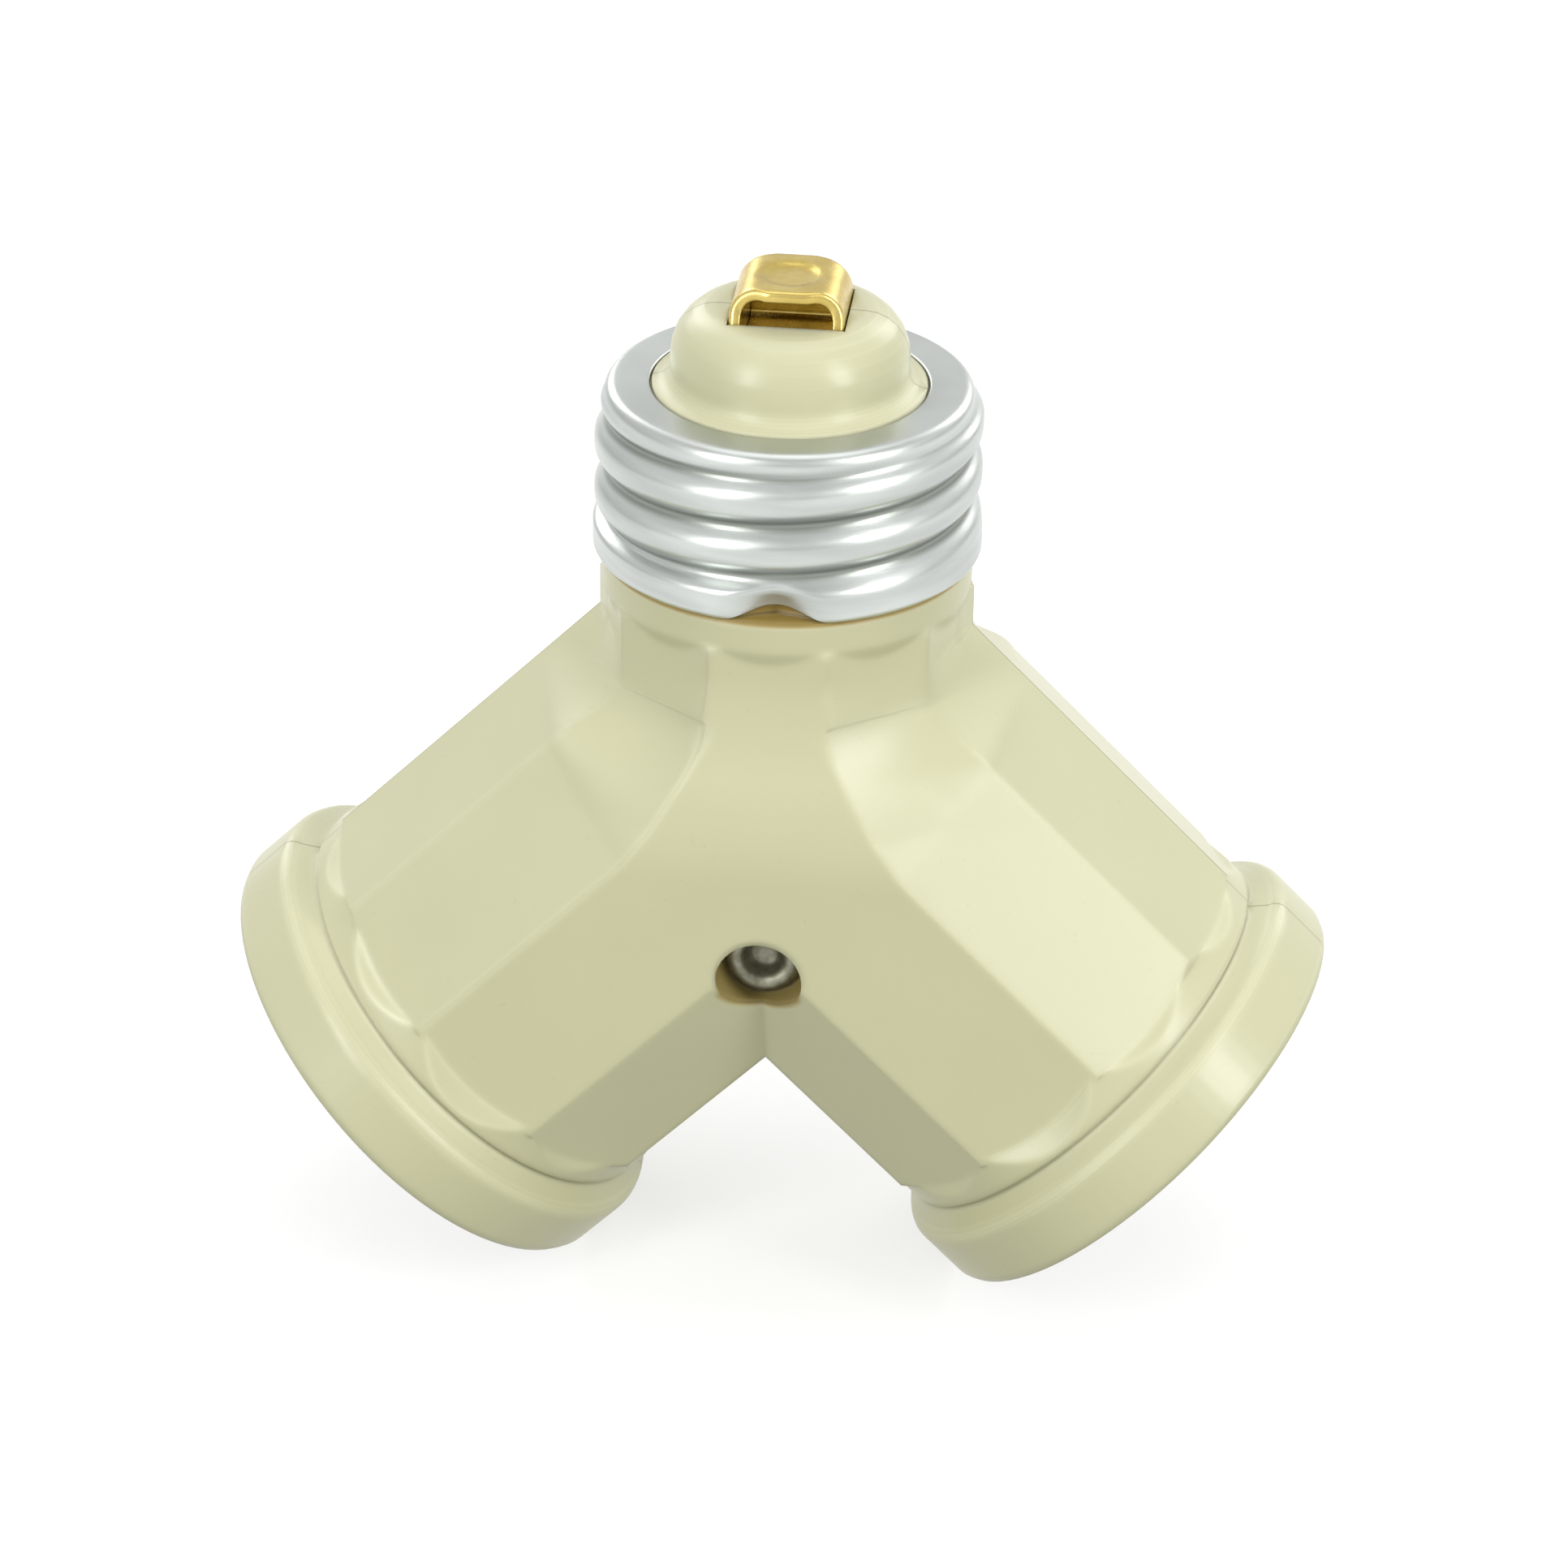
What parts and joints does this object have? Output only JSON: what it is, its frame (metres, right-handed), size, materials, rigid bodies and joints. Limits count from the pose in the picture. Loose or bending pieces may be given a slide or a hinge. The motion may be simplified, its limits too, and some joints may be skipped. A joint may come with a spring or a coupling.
{
  "type": "lamp_socket_adapter",
  "caption": "Twin lamp socket adapter: screw plug with a brass tip contact on top, moulded cream body of riveted halves, and two sockets that slant down to the sides",
  "frame": {"origin": "middle of the plain band at the foot of the plug's screw shell, on the plug's axis", "axes": "+Z along the plug's axis and out of its tip, +X towards the right socket, -Y out of the front face"},
  "size_m": [0.076, 0.0356, 0.0735],
  "materials": {
    "body": "smooth moulded, glossy cream",
    "shell_sheet": "bright rolled sheet",
    "brass": "stamped strip",
    "rivet_metal": "plated",
    "insulator": "pressed fibre"
  },
  "bodies": {
    "root": {"body_front_half": "body", "body_back_half": "body", "plug_screw_shell": "shell_sheet", "tip_contact_strap": "brass", "body_rivet": "rivet_metal", "socket_shell_left": "shell_sheet", "socket_shell_right": "shell_sheet", "socket_insulator_left": "insulator", "socket_insulator_right": "insulator", "centre_contact_left": "brass", "centre_contact_right": "brass", "contact_rivet_left": "rivet_metal", "contact_rivet_right": "rivet_metal", "neutral_strap_left": "brass", "neutral_strap_right": "brass", "neutral_rivet_left": "rivet_metal", "neutral_rivet_right": "rivet_metal"}
  },
  "joints": []
}
